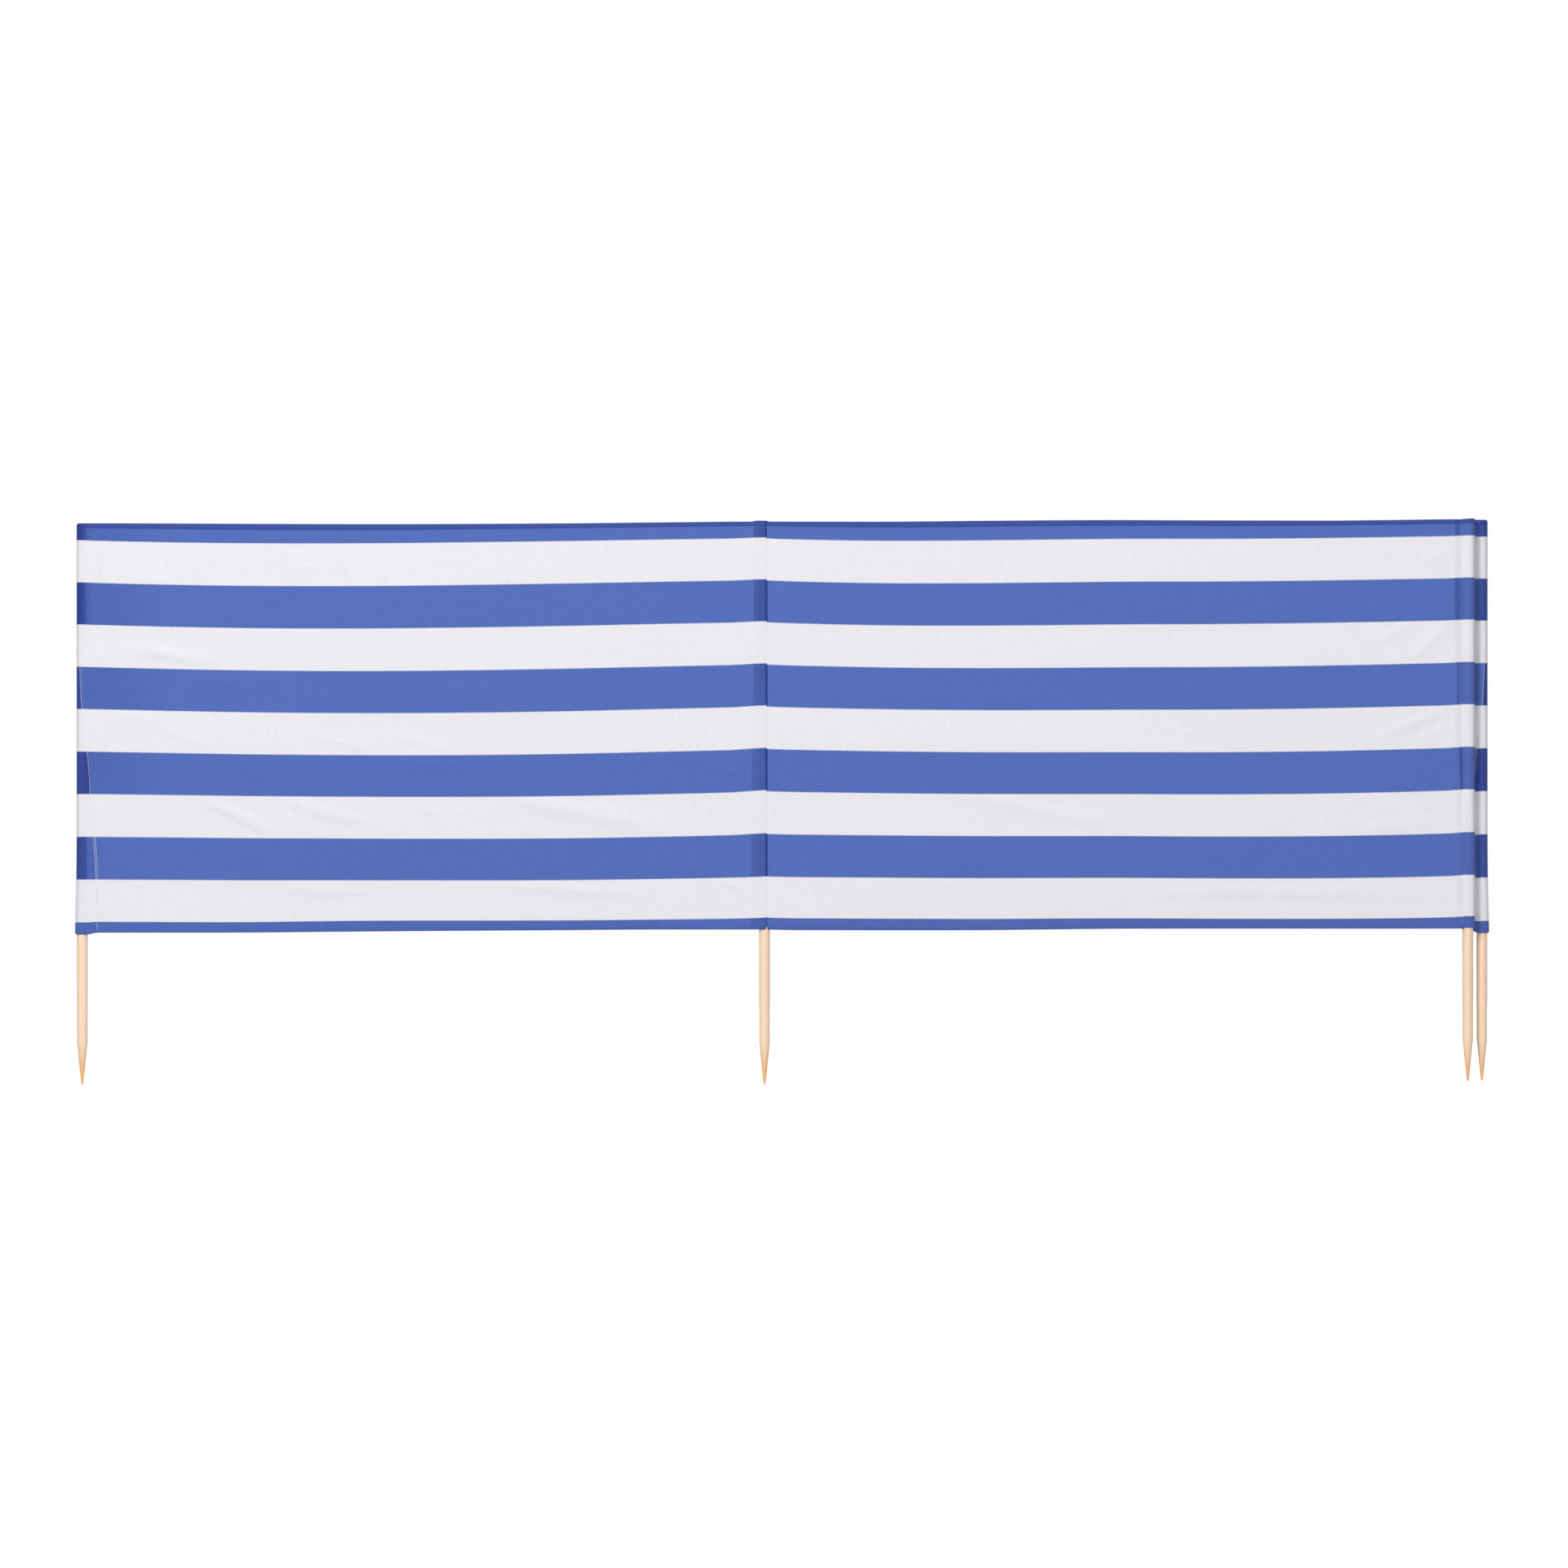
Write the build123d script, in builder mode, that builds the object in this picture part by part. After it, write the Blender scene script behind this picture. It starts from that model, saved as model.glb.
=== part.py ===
from build123d import *
from math import atan, cos, pi, sin
import os

os.makedirs("parts", exist_ok=True)

# Poles: one length and one pencil point for all four
pole_diameter = 21.0
pole_length = 1097.0
point_length = 81.0
tip_diameter = 4.0
shoulder_round = 25.0
top_round = 2.0

# Where the poles stand, seen from above; pole 2 is on the origin
pole_1_x = -1334.0
pole_3_x = 1375.0
pole_4_x = 1404.0
right_poles_lift = 7.5

# Cloth
sheet_thickness = 0.8
pocket_wall = 0.6
pole_gap = 0.2
sheet_gap = 0.3
curl_radius = 2.0
edge_corner = 5.0
sheet_overhang = 5.0

# Height of the cloth edges at the poles and between them, all set by the top of pole 1
top_at_1 = pole_length
top_mid_1 = pole_length - 1.2
top_at_2 = pole_length + 3.8
top_mid_2 = pole_length + 6.0
top_at_3 = pole_length + 8.0
top_at_4 = pole_length + 6.8
bottom_at_1 = pole_length - 802.0
bottom_mid_1 = pole_length - 796.5
bottom_at_2 = pole_length - 793.0
bottom_mid_2 = pole_length - 794.5
bottom_at_3 = pole_length - 791.5
bottom_at_4 = pole_length - 799.4

# Loop pockets round the middle poles, with slack beside the pole
loop_slack = 5.0
seam_2_offset = 4.0
seam_gap = 0.4

# End sleeves: drop-shaped in section and wider at the foot
sleeve_reach_top = 14.0
sleeve_reach_foot = 31.0

# Hems
top_hem_width = 8.5
bottom_hem_width = 6.0
hem_stop = 21.0
crease_hem_stop = 6.0

# Derived sizes
pole_radius = pole_diameter / 2
loop_inner = pole_radius + pole_gap
loop_outer = loop_inner + pocket_wall
sheet_back = loop_outer + sheet_gap
sheet_front = sheet_back + sheet_thickness
crease_y = sheet_front + curl_radius
curl_outer = curl_radius + sheet_thickness
outer_front_y = crease_y + curl_outer + sheet_gap
pole_4_y = outer_front_y + sheet_front
turn_3_x = pole_3_x + loop_slack / 2
seam_3_x = turn_3_x - loop_slack
bay_length = (pole_3_x - pole_1_x) / 2
crease_x = (turn_3_x + pole_4_x - bay_length) / 2
top_at_crease = (top_at_3 + top_at_4) / 2
bottom_at_crease = (bottom_at_3 + bottom_at_4) / 2
cap_top = pole_length + pole_gap + pocket_wall
edge_1_x = pole_1_x - sheet_overhang
edge_4_x = pole_4_x + sheet_overhang
seam_2_left = seam_2_offset - seam_gap / 2
seam_2_right = seam_2_offset + seam_gap / 2

# Poles: turned bars with a ground pencil point; the two on the right are pushed in a little less
poles = [
    ("pole_1", (pole_1_x, 0, 0)),
    ("pole_2", (0, 0, 0)),
    ("pole_3", (pole_3_x, 0, right_poles_lift)),
    ("pole_4", (pole_4_x, pole_4_y, right_poles_lift)),
]
for name, place in poles:
    with BuildPart() as pole:
        with BuildSketch(Plane.XZ):
            with BuildLine():
                Polyline(
                    (0, 0),
                    (tip_diameter / 2, 0),
                    (pole_radius, point_length),
                    (pole_radius, pole_length),
                    (0, pole_length),
                    close=True,
                )
            make_face()
        revolve(axis=Axis.Z)
        shoulder = pole.edges().filter_by(GeomType.CIRCLE).sort_by(Axis.Z)[1]
        fillet(shoulder, shoulder_round)
        rim = pole.edges().filter_by(GeomType.CIRCLE).sort_by(Axis.Z)[-1]
        fillet(rim, top_round)
    pole.part = pole.part.moved(Location(place))
    pole.part.label = name
    export_step(pole.part, f"parts/{name}.step")

# End sleeves: tube round the pole with a tail that widens to the foot, tangent to the tube
sleeves = [
    ("end_sleeve_1", pole_1_x, 0, bottom_at_1, cap_top, 1),
    ("end_sleeve_4", pole_4_x, pole_4_y, bottom_at_4, cap_top + right_poles_lift, -1),
]
for name, x, y, foot, roof, side in sleeves:
    with BuildPart() as end_sleeve:
        for radius, top, mode in [
            (loop_outer, roof, Mode.ADD),
            (loop_inner, roof - pocket_wall, Mode.SUBTRACT),
        ]:
            with BuildSketch(Plane((x, y, foot))):
                Circle(radius)
            extrude(amount=top - foot, mode=mode)
            for height, reach in [(foot, sleeve_reach_foot), (top, sleeve_reach_top)]:
                angle = 2 * atan(reach / loop_outer) - pi / 2
                with BuildSketch(Plane((x, y, height))):
                    with BuildLine():
                        Polyline(
                            (0, 0),
                            (0, -radius),
                            (side * reach * radius / loop_outer, -radius),
                            (side * radius * cos(angle), radius * sin(angle)),
                            close=True,
                        )
                    make_face()
            loft(mode=mode)
    end_sleeve.part.label = name
    export_step(end_sleeve.part, f"parts/{name}.step")

# Loop pockets behind the sheets: the slack of the first lies to its left, of the second to both sides
pockets = [
    ("pocket_2", -loop_slack / 2, bottom_at_2, cap_top),
    ("pocket_3", pole_3_x, bottom_at_3, cap_top + right_poles_lift),
]
for name, x, foot, roof in pockets:
    with BuildPart() as pocket:
        for radius, top, mode in [
            (loop_outer, roof, Mode.ADD),
            (loop_inner, roof - pocket_wall, Mode.SUBTRACT),
        ]:
            with BuildSketch(Plane((x, 0, foot))):
                SlotCenterToCenter(loop_slack, 2 * radius)
            extrude(amount=top - foot, mode=mode)
    pocket.part.label = name
    export_step(pocket.part, f"parts/{name}.step")

# Bay 1 cloth: sagging edges, rounded corners at the free end
with BuildPart() as bay_1_cloth:
    with BuildSketch(Plane.XZ.offset(sheet_back)):
        with BuildLine():
            Spline(
                (edge_1_x, top_at_1),
                (pole_1_x / 2, top_mid_1),
                (seam_2_left, top_at_2),
            )
            Line((seam_2_left, top_at_2), (seam_2_left, bottom_at_2))
            Spline(
                (seam_2_left, bottom_at_2),
                (pole_1_x / 2, bottom_mid_1),
                (edge_1_x, bottom_at_1),
            )
            Line((edge_1_x, bottom_at_1), (edge_1_x, top_at_1))
        make_face()
        fillet(vertices().group_by(Axis.X)[0], edge_corner)
    extrude(amount=sheet_thickness)
bay_1_cloth.part.label = "bay_1_cloth"
export_step(bay_1_cloth.part, "parts/bay_1_cloth.step")

# Bay 2 cloth: from the seam at pole 2 to the seam at pole 3
with BuildPart() as bay_2_cloth:
    with BuildSketch(Plane.XZ.offset(sheet_back)):
        with BuildLine():
            Spline(
                (seam_2_right, top_at_2),
                (pole_3_x / 2, top_mid_2),
                (seam_3_x, top_at_3),
            )
            Line((seam_3_x, top_at_3), (seam_3_x, bottom_at_3))
            Spline(
                (seam_3_x, bottom_at_3),
                (pole_3_x / 2, bottom_mid_2),
                (seam_2_right, bottom_at_2),
            )
            Line((seam_2_right, bottom_at_2), (seam_2_right, top_at_2))
        make_face()
    extrude(amount=sheet_thickness)
bay_2_cloth.part.label = "bay_2_cloth"
export_step(bay_2_cloth.part, "parts/bay_2_cloth.step")

# Bay 3 inner cloth: lies behind the second bay and curls back on itself at the crease
with BuildPart() as bay_3_inner_cloth:
    with BuildSketch(Plane.XZ.offset(-sheet_front)):
        with BuildLine():
            Polyline(
                (turn_3_x, top_at_3),
                (crease_x, top_at_crease),
                (crease_x, bottom_at_crease),
                (turn_3_x, bottom_at_3),
                close=True,
            )
        make_face()
    extrude(amount=sheet_thickness)
    with BuildSketch(Plane((crease_x, crease_y, bottom_at_crease))):
        Circle(curl_outer)
        Circle(curl_radius, mode=Mode.SUBTRACT)
        Rectangle(
            2 * curl_outer,
            4 * curl_outer,
            align=(Align.MIN, Align.CENTER),
            mode=Mode.SUBTRACT,
        )
    extrude(amount=top_at_crease - bottom_at_crease)
bay_3_inner_cloth.part.label = "bay_3_inner_cloth"
export_step(bay_3_inner_cloth.part, "parts/bay_3_inner_cloth.step")

# Bay 3 outer cloth: from the crease out again to the rear end pole
with BuildPart() as bay_3_outer_cloth:
    with BuildSketch(Plane.XZ.offset(-outer_front_y - sheet_thickness)):
        with BuildLine():
            Polyline(
                (crease_x, top_at_crease),
                (edge_4_x, top_at_4),
                (edge_4_x, bottom_at_4),
                (crease_x, bottom_at_crease),
                close=True,
            )
        make_face()
        fillet(vertices().group_by(Axis.X)[-1], edge_corner)
    extrude(amount=sheet_thickness)
bay_3_outer_cloth.part.label = "bay_3_outer_cloth"
export_step(bay_3_outer_cloth.part, "parts/bay_3_outer_cloth.step")

# Hems: each sheet's own edge turned over, so it follows the sag, and cut clear of the pole loops
hem_1_from = pole_1_x + sleeve_reach_foot + seam_gap
hem_4_to = pole_4_x - sleeve_reach_foot - seam_gap
crease_hem_x = crease_x + crease_hem_stop
hems = [
    ("1", bay_1_cloth.part, sheet_thickness, -sheet_back, hem_1_from, -hem_stop),
    ("2", bay_2_cloth.part, sheet_thickness, -sheet_back, hem_stop, pole_3_x - hem_stop),
    ("3_inner", bay_3_inner_cloth.part, -sheet_thickness, sheet_back, crease_hem_x, pole_3_x - hem_stop),
    ("3_outer", bay_3_outer_cloth.part, sheet_thickness, pole_4_y - sheet_back, crease_hem_x, hem_4_to),
]
for sheet_name, sheet, turn, face_y, start, end in hems:
    for edge, shift in [("top_hem", -top_hem_width), ("bottom_hem", bottom_hem_width)]:
        with BuildPart() as hem:
            add(sheet.moved(Location((0, turn, 0))))
            add(sheet.moved(Location((0, turn, shift))), mode=Mode.SUBTRACT)
            with Locations((start, face_y, pole_length)):
                Box(
                    end - start,
                    2 * sheet_thickness,
                    2 * pole_length,
                    align=(Align.MIN, Align.CENTER, Align.CENTER),
                    mode=Mode.INTERSECT,
                )
        hem.part.label = f"{edge}_{sheet_name}"
        export_step(hem.part, f"parts/{edge}_{sheet_name}.step")
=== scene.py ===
import math
from bisect import bisect

import bmesh
import bpy
from mathutils import Matrix, Vector, noise


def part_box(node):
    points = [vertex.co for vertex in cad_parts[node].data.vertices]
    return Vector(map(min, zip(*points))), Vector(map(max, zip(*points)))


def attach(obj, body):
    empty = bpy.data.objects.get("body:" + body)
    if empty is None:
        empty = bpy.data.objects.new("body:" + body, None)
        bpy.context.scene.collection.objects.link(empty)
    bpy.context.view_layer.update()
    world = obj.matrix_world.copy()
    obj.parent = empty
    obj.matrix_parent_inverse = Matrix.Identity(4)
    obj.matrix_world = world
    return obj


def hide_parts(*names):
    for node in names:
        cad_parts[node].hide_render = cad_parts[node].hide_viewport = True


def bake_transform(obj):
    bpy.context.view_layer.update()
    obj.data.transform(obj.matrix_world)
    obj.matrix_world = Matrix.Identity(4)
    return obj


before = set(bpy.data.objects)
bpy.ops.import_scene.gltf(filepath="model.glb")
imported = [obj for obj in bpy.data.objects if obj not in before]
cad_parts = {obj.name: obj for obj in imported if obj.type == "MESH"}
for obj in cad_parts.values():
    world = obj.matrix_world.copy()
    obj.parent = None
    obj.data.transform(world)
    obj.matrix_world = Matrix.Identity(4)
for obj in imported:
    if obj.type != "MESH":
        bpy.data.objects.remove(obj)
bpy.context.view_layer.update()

# The studio: the windbreak stands on white paper and is seen square on, from so far away that
# the poles and the cloth line up as on a drawing. The light is soft and comes from the upper left.
PICTURE_WIDTH = 3.066
PICTURE_CENTRE = (0.0381, 0.588)
CAMERA_AWAY = 30.0
FILM_WIDTH = 36
SIGHT_END = 300
FLOOR_HALF = 60
PAPER_GREY = (0.58, 0.58, 0.58, 1)
PAPER_GLOW = 0.8
AMBIENT = 0.32
# Each lamp's name, place, size in metres and power in watts. They all point at LAMP_AIM.
LAMPS = [
    ("key_lamp", (-3.0, -7.8, 5.7), 2.2, 562),
    ("fill_lamp", (5.5, -8.0, 1.2), 5.0, 220),
    ("back_lamp", (3.0, 9.0, 5.0), 5.0, 420),
]
LAMP_AIM = Vector((0, 0, 0.7))


class Shade:
    """A socket in a material's nodes. An expression on sockets adds its own Math nodes."""

    def __init__(self, tree, socket=None):
        self.tree = tree
        self.socket = socket

    def node(self, kind, settings, sockets, out=0):
        made = self.tree.nodes.new(kind)
        for name, value in settings.items():
            setattr(made, name, value)
        for name, value in sockets.items():
            if isinstance(value, Shade):
                self.tree.links.new(value.socket, made.inputs[name])
            else:
                made.inputs[name].default_value = value
        return Shade(self.tree, made.outputs[out])

    def maths(self, operation, *values):
        return self.node("ShaderNodeMath", {"operation": operation}, dict(enumerate(values)))

    def __add__(self, other):
        return self.maths("ADD", self, other)

    def __sub__(self, other):
        return self.maths("SUBTRACT", self, other)

    def __rsub__(self, other):
        return self.maths("SUBTRACT", other, self)

    def __mul__(self, other):
        return self.maths("MULTIPLY", self, other)

    __radd__ = __add__
    __rmul__ = __mul__

    def larger(self, other):
        return self.maths("MAXIMUM", self, other)

    def smaller(self, other):
        return self.maths("MINIMUM", self, other)

    def sine(self):
        return self.maths("SINE", self)

    def between(self, low, high):
        return self.node(
            "ShaderNodeMapRange",
            {"interpolation_type": "SMOOTHSTEP"},
            {"Value": self, "From Min": low, "From Max": high},
        )

    def blend(self, mask, first, second):
        return self.node(
            "ShaderNodeMix", {"data_type": "RGBA"}, {0: mask, 6: first, 7: second}, out=2
        )

    def tinted(self, factor):
        return self.node("ShaderNodeVectorMath", {"operation": "SCALE"}, {0: self, "Scale": factor})

    def show(self, output):
        end = self.tree.nodes.new(output)
        self.tree.links.new(self.socket, end.inputs["Surface"])


def new_shade(owner):
    owner.use_nodes = True
    owner.node_tree.nodes.clear()
    return Shade(owner.node_tree)


def link(name, data):
    made = bpy.data.objects.new(name, data)
    bpy.context.scene.collection.objects.link(made)
    return made


def seen_directly(shade):
    """1 where a surface is looked at, straight or in a mirror or through glass, and 0 where it only
    lights others."""
    rays = (
        shade.node("ShaderNodeLightPath", {}, {}, out=f"Is {ray} Ray")
        for ray in ("Camera", "Glossy", "Transmission")
    )
    return sum(rays).smaller(1)


lens = bpy.data.cameras.new("camera")
lens.sensor_width = FILM_WIDTH
lens.lens = FILM_WIDTH * CAMERA_AWAY / PICTURE_WIDTH
lens.clip_end = SIGHT_END
camera = link("camera", lens)
camera.location = (PICTURE_CENTRE[0], -CAMERA_AWAY, PICTURE_CENTRE[1])
camera.rotation_euler = (math.radians(90), 0, 0)
bpy.context.scene.camera = camera
bpy.context.scene.view_settings.view_transform = "Standard"

for name, place, size, power in LAMPS:
    lamp = bpy.data.lights.new(name, "AREA")
    lamp.size = size
    lamp.energy = power
    shone = link(name, lamp)
    shone.location = place
    shone.rotation_euler = (LAMP_AIM - Vector(place)).to_track_quat("-Z", "Y").to_euler()

world = bpy.data.worlds.new("paper_white")
bpy.context.scene.world = world
sky = new_shade(world)
sky.node(
    "ShaderNodeBackground",
    {},
    {"Color": (1, 1, 1, 1), "Strength": AMBIENT + (1 - AMBIENT) * seen_directly(sky)},
).show("ShaderNodeOutputWorld")

paper = bpy.data.materials.new("white_paper")
sheet_of_paper = new_shade(paper)
sheet_of_paper.node(
    "ShaderNodeBsdfPrincipled",
    {},
    {
        "Base Color": PAPER_GREY,
        "Roughness": 1.0,
        "Specular IOR Level": 0.0,
        "Emission Color": (1, 1, 1, 1),
        "Emission Strength": PAPER_GLOW * seen_directly(sheet_of_paper),
    },
).show("ShaderNodeOutputMaterial")
bm = bmesh.new()
bmesh.ops.create_grid(bm, x_segments=1, y_segments=1, size=FLOOR_HALF)
ground = bpy.data.meshes.new("floor")
bm.to_mesh(ground)
bm.free()
ground.materials.append(paper)
link("floor", ground)


# The poles: planed softwood bars, pale and bare, with a long pencil point cut on the foot.
# Their turned shape is the CAD's own; the grain runs up the bar and the cut points are darker.
PALE_WOOD = (0.985, 0.75, 0.56, 1)
GRAIN_WOOD = (0.925, 0.648, 0.432, 1)
POINT_WOOD = (0.95, 0.475, 0.195, 1)
POINT_FROM = 0.02
POINT_TO = 0.088

pine = bpy.data.materials.new("bare_pine")
bar = new_shade(pine)
place = bar.node("ShaderNodeTexCoord", {}, {}, out="Object")
height = bar.node("ShaderNodeSeparateXYZ", {}, {0: place}, out="Z")
grain_place = bar.node("ShaderNodeMapping", {}, {0: place, "Scale": (1, 1, 0.035)})
fine_grain = bar.node("ShaderNodeTexNoise", {}, {"Vector": grain_place, "Scale": 620, "Detail": 4})
broad_grain = bar.node("ShaderNodeTexNoise", {}, {"Vector": grain_place, "Scale": 130, "Detail": 3})
grain = fine_grain.between(0.42, 0.7) * 0.35 + broad_grain.between(0.4, 0.75) * 0.45
point = 1 - height.between(POINT_FROM, POINT_TO)
wood = bar.blend(point * 0.85, bar.blend(grain, PALE_WOOD, GRAIN_WOOD), POINT_WOOD)
bar.node(
    "ShaderNodeBsdfPrincipled",
    {},
    {
        "Base Color": wood,
        "Roughness": 0.62 + 0.15 * fine_grain,
        "Specular IOR Level": 0.35,
        "Normal": bar.node(
            "ShaderNodeBump", {}, {"Height": grain, "Strength": 0.2, "Distance": 0.0003}
        ),
    },
).show("ShaderNodeOutputMaterial")
for number in range(1, 5):
    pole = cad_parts[f"pole_{number}"]
    pole.data.materials.clear()
    pole.data.materials.append(pine)


# Bay 1: one width of thin woven cotton with blue and white stripes, hung from pole 1 to the
# seam at pole 2. Its free end is turned round pole 1 and sewn down behind, along a slanting seam,
# which makes an end sleeve that is tight at the top and wide at the foot.
# From here on the cloth is measured in millimetres, the stripes down from the top edge.
MM = 0.001
POLE = {
    number: (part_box(f"pole_{number}")[0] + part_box(f"pole_{number}")[1]) / 2 / MM
    for number in range(1, 5)
}
CLOTH_DEPTH = 800.0
CLOTH_THICKNESS = 0.45
CLOTH_Y = -12.0
FIRST_BAND = 33.4
BAND = 83.0
LAST_EDGE = 777.0
MID_SAG = 8.7
SAG_TOP = 0.15
SAG_FALL = 0.65
SAG_SPREAD = 0.48
POLE_LIFT = 2.6
EDGE_TURN = 0.8
EDGE_ROLL = 0.5
DIMPLE = 0.8
HEM_STITCH = 8.2
FOOT_HEM_STITCH = 5.6
SEAM_2 = 4.0
SEAM_2_LIFT = 2.2
SEAM_DEPTH = 0.6
NOTCH_HEIGHT = 7.5
NOTCH_HALF = 4.6
TOP_LINE = [
    (-1345, 1097.4), (-1260, 1097.4), (-860, 1095.9), (-670, 1095.9), (-384, 1097.4),
    (-225, 1099.0), (-66, 1100.6), (13, 1100.8), (250, 1100.7), (410, 1102.1), (600, 1103.5),
    (727, 1103.7), (885, 1102.4), (1044, 1102.3), (1203, 1103.6), (1330, 1105.2), (1420, 1105.3),
]
FOOT_LINE = [
    (-1350, 297.2), (-1303, 297.6), (-1257, 297.6), (-1019, 297.8),
    (-860, 299.2), (-670, 300.8), (-384, 302.5), (-225, 303.6), (-12, 303.8), (3.5, 304.0),
    (18, 303.4), (60, 302.6), (410, 302.4), (568, 304.0), (727, 305.4), (1354, 305.6), (1420, 306.8),
]
BLUE = (0.088, 0.153, 0.482, 1)
# The deep colours stand for the cloth lying double and for painted shade
LAYERED_AND_SHADED_BLUE = (0.017, 0.033, 0.225, 1)
WHITE = (0.818, 0.808, 0.842, 1)
LAYERED_AND_SHADED_WHITE = (0.79, 0.785, 0.83, 1)
THREAD_PITCH = 0.0008

# Shallow folds in the cloth: from x, z to x, z along their shaded flank, how wide and how deep.
# Its gentle waves: how high, how long, how tall, and their place in the noise.
FOLD_DEPTH = 2.0
FOLD_RIDGE = 0.6
WAVES = [(2.0, 210, 150, 3.1), (0.45, 55, 48, 8.4)]
FOLDS_1 = [
    (-1249, 850, -1079, 821, 9, 1.8), (-1333, 848, -1285, 828, 6, 1.0),
    (-1304, 777, -1211, 767, 9, 0.9), (-1108, 786, -1033, 772, 12, 1.3),
    (-1333, 717, -1297, 674, 6, 1.1), (-1266, 717, -1165, 702, 9, 1.0),
    (-1178, 688, -1071, 656, 7, 1.2), (-893, 680, -763, 651, 8, 1.2),
    (-716, 675, -622, 651, 8, 1.3), (-230, 702, -156, 651, 8, 0.8),
    (-1043, 618, -987, 605, 8, 0.8), (-763, 628, -540, 613, 10, 1.1),
    (-557, 577, -427, 569, 7, 0.9), (-138, 628, -16, 591, 9, 0.9),
    (-1098, 553, -968, 493, 8, 1.9), (-971, 558, -725, 490, 10, 1.6),
    (-679, 544, -636, 523, 6, 0.9), (-521, 553, -203, 493, 17, 2.3),
    (-968, 380, -763, 367, 8, 1.1), (-521, 385, -240, 366, 9, 1.4),
    (-81, 390, -25, 375, 6, 1.0),
]
FOLDS_2 = [
    (1203, 861, 1270, 899, 8, 1.2), (1270, 834, 1335, 890, 8, 1.3),
    (8, 731, 51, 675, 6, 1.1), (14, 705, 34, 665, 5, 0.7),
    (214, 712, 270, 671, 7, 0.9), (1203, 675, 1344, 731, 9, 1.5),
    (1282, 672, 1344, 701, 6, 1.0), (392, 558, 690, 498, 14, 1.6),
    (260, 459, 447, 413, 15, 1.1), (663, 372, 1335, 368, 9, 1.2),
    (1150, 492, 1344, 512, 9, 0.9), (1290, 1012, 1350, 1050, 8, 0.8),
]

# The end sleeves: their seam's distance from the middle of the pole, how wide and how deep the
# tube round the pole is, and how much cloth lies round the pole and in the flat tail behind it
SLEEVE_SEAM = [
    (299, 30.4), (318, 28.6), (401, 27.0), (482, 22.8), (567, 16.2), (597, 14.9),
    (650, 9.8), (735, -0.2), (818, -5.0), (880, -10.0), (940, -16.0),
]
SLEEVE_WIDTH = [(296, 13.9), (318, 13.7), (365, 12.3), (399, 11.6), (482, 10.95), (1110, 10.95)]
SLEEVE_REACH = [
    (294, 31.6), (332, 28.6), (399, 27.2), (482, 23.0), (567, 16.3), (650, 13.4), (1110, 12.6),
]
SLEEVE_TOP = 1097.4
SLEEVE_BACK = 11.2
WRAP_ARC = 52.0
WRAP_TAIL = 14.0
CAP_CORNER = 4.0
CAP_DEPTH = 11
CAP_FROM, CAP_TO = 7.5, 12.5
SLEEVE_DROP = 3.0
SLEEVE_DROP_ENDS = {1: (12, 31), 4: (8, 17)}
# Heights on a sleeve: above the first, painted shade deepens its turned end, below the second,
# painted shade deepens the cloth beside its seam, and below the last it is plain
TURNED_ABOVE = 862
LOW_SEAM = 520
HEM_TOP = 322


def through(keys, x):
    """A smooth line through the keys, which are pairs of place and value."""
    last = len(keys) - 1
    i = min(max(bisect(keys, (x, math.inf)) - 1, 0), last - 1)
    (x0, a), (x1, b) = keys[i], keys[i + 1]
    before, after = keys[max(i - 1, 0)], keys[min(i + 2, last)]
    lean_a = (b - before[1]) / (x1 - before[0]) * (x1 - x0)
    lean_b = (after[1] - a) / (after[0] - x0) * (x1 - x0)
    t = min(max((x - x0) / (x1 - x0), 0), 1)
    return (
        a * (2 * t**3 - 3 * t**2 + 1)
        + lean_a * (t**3 - 2 * t**2 + t)
        + b * (3 * t**2 - 2 * t**3)
        + lean_b * (t**3 - t**2)
    )


def ease(x, start, end):
    t = min(max((x - start) / (end - start), 0), 1)
    return t * t * (3 - 2 * t)


def hump(x, middle, spread):
    return math.exp(-(((x - middle) / spread) ** 2))


def waved(x, z, waves):
    return sum(
        high * noise.noise(Vector((x / long, z / tall, place))) for high, long, tall, place in waves
    )


def columns(start, end, coarse=6.6, fine=1.5, margin=32.0):
    """Places of the columns of a piece of cloth, close together near both of its ends."""
    places = [start]
    while places[-1] < end - 1e-6:
        near_end = min(places[-1] - start, end - places[-1]) < margin
        places.append(min(places[-1] + (fine if near_end else coarse), end))
    return places


TOP_ROWS = [0, 0.4, 0.8, 1.4, 2, 2.8, 3.6, 5.2, 6.4, 7.2, 7.7, 8.2, 8.7, 9.2, 10, 11.5, 14, 18]
FOOT_ROWS = [782, 788, 791, 793, 793.8, 794.4, 795, 796, 797.5, 799.2, 799.6, 800]
SHEET_ROWS = TOP_ROWS + [24 + 6.9 * i for i in range(110)] + FOOT_ROWS
WRAP = [WRAP_ARC * i / 34 for i in range(1, 35)] + [WRAP_ARC + WRAP_TAIL * i / 5 for i in range(1, 6)]


def hung(x, down, top, foot, left, right, lift=POLE_LIFT):
    """Height of the cloth at x, down from its top edge, between its poles at left and right.
    The stripes sag between the poles, the upper ones to the left and the lower ones to the right."""
    share = down / CLOTH_DEPTH
    t = min(max((x - left) / (right - left), 0), 1)
    sag = MID_SAG * (4 * t * (1 - t)) ** 0.8 * hump(share, SAG_TOP + SAG_FALL * t, SAG_SPREAD)
    held = lift * 4 * share * (1 - share)
    pinned = ease(down, 0, 16) * ease(CLOTH_DEPTH - down, 0, 25)
    return top + (foot - top) * share - (sag - held) * pinned


def notched(x, down):
    """How far the two bays' bottom corners are pulled up at seam 2."""
    near = max(1 - abs(x - SEAM_2 + 0.5) / NOTCH_HALF, 0)
    return NOTCH_HEIGHT * near**0.8 * ease(down, 780, 800)


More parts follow.
